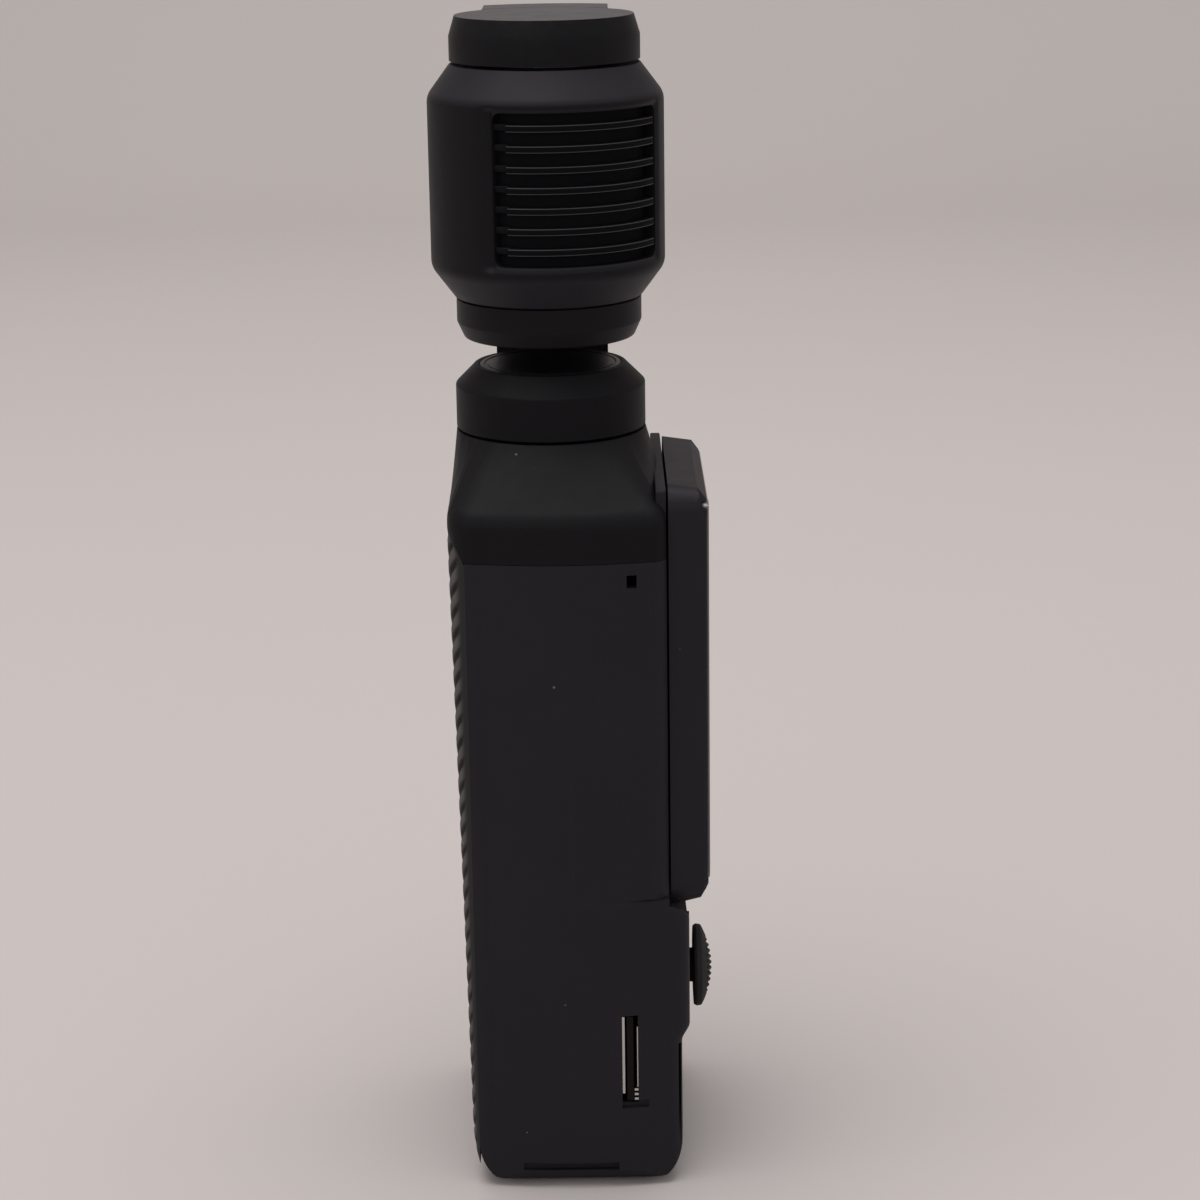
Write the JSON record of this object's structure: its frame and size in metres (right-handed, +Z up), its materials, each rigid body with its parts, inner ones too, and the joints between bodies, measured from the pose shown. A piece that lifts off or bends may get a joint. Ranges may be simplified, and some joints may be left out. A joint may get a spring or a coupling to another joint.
{
  "type": "gimbal camera",
  "caption": "Pocket gimbal camera: flat handle with ribbed grip, turning touch screen and joystick, and a three-axis motor head that holds a round camera barrel.",
  "frame": {"origin": "where the pan axis meets the handle's flat bottom face", "axes": "+Z up the handle along the pan axis, +X towards the touch screen, -Y towards the side with the card slot"},
  "size_m": [0.0325, 0.0422, 0.1397],
  "materials": {
    "shell": "soft matte black",
    "grip": "ribbed soft grip",
    "control": "fine textured black",
    "button_red": "satin red",
    "light_ring": "smoked light guide",
    "heat_metal": "black anodised",
    "cover_glass": "black screen glass",
    "display": "dark panel",
    "bezel": "black",
    "optic": "coated",
    "steel": "bright",
    "alloy": "machined",
    "copper": "enamelled wire and foil",
    "board": "printed board",
    "inner_black": "plain",
    "cell": "wrapped cell"
  },
  "bodies": {
    "handle": {"handle_shell": "shell", "shoulder_cover": "shell", "front_grip": "grip", "screen_plate": "shell", "pivot_bearing": "steel", "card_cage": "steel", "data_socket": "steel", "battery": "cell", "inner_frame": "alloy", "main_board": "board", "board_screws": "steel", "heat_spreader": "copper", "speaker": "inner_black", "joystick_module": "steel", "record_ring": "light_ring", "record_switch": "inner_black", "pan_motor_base": "alloy", "pan_bearings": "steel", "pan_stator": "steel", "pan_coils": "copper"},
    "screen": {"screen_housing": "shell", "screen_glass": "cover_glass", "display_panel": "display", "screen_pivot": "steel"},
    "joystick_rocker": {"joystick_yoke": "inner_black"},
    "joystick_swing": {"joystick_hub": "inner_black"},
    "joystick": {"joystick_cap": "control"},
    "button": {"record_button": "button_red"},
    "card": {"memory_card": "inner_black"},
    "pan": {"pan_ring": "shell", "pan_disc": "bezel", "pan_arm": "shell", "roll_housing": "shell", "roll_cover": "shell", "pan_magnets": "steel", "pan_shaft": "steel", "roll_magnets": "steel", "roll_shaft": "steel"},
    "roll": {"roll_arm": "shell", "roll_motor_base": "alloy", "roll_bearings": "steel", "roll_stator": "steel", "roll_coils": "copper", "tilt_magnets": "steel", "tilt_shaft": "steel"},
    "camera": {"barrel_shell": "shell", "heat_sink": "heat_metal", "lower_cap": "shell", "lens_bezel": "bezel", "front_glass": "cover_glass", "lens_tube": "bezel", "lens_elements": "optic", "sensor_board": "board", "image_sensor": "display", "heat_block": "alloy", "tilt_motor_base": "alloy", "tilt_bearings": "steel", "tilt_stator": "steel", "tilt_coils": "copper"}
  },
  "joints": [
    {"name": "pan_turn", "type": "hinge", "parent": "handle", "child": "pan", "pos_m": [0, 0, 0.0912], "axis": [0, 0, 1], "range_deg": [-153, 150]},
    {"name": "roll_turn", "type": "hinge", "parent": "pan", "child": "roll", "pos_m": [0, 0.01675, 0.121], "axis": [0, 1, 0], "range_deg": [-130, 153]},
    {"name": "tilt_turn", "type": "hinge", "parent": "roll", "child": "camera", "pos_m": [0, 0, 0.121], "axis": [0, 0, 1], "range_deg": [-21, 257]},
    {"name": "screen_turn", "type": "hinge", "parent": "handle", "child": "screen", "pos_m": [0.0133, 0, 0.0616], "axis": [1, 0, 0], "range_deg": [0, 90]},
    {"name": "stick_rock", "type": "hinge", "parent": "handle", "child": "joystick_rocker", "pos_m": [0.013, -0.008, 0.0246], "axis": [0, 1, 0], "range_deg": [-8, 8], "stiffness_Nm_per_rad": 0.03},
    {"name": "stick_swing", "type": "hinge", "parent": "joystick_rocker", "child": "joystick_swing", "pos_m": [0.013, -0.008, 0.0246], "axis": [0, 0, 1], "range_deg": [-8, 8], "stiffness_Nm_per_rad": 0.03},
    {"name": "stick_press", "type": "slide", "parent": "joystick_swing", "child": "joystick", "axis": [-1, 0, 0], "range_m": [0, 0.00025], "stiffness_N_per_m": 500},
    {"name": "record_press", "type": "slide", "parent": "handle", "child": "button", "axis": [-1, 0, 0], "range_m": [0, 0.0004], "stiffness_N_per_m": 500},
    {"name": "card_slide", "type": "slide", "parent": "handle", "child": "card", "axis": [0, -1, 0], "range_m": [-0.0005, 0.012]}
  ]
}
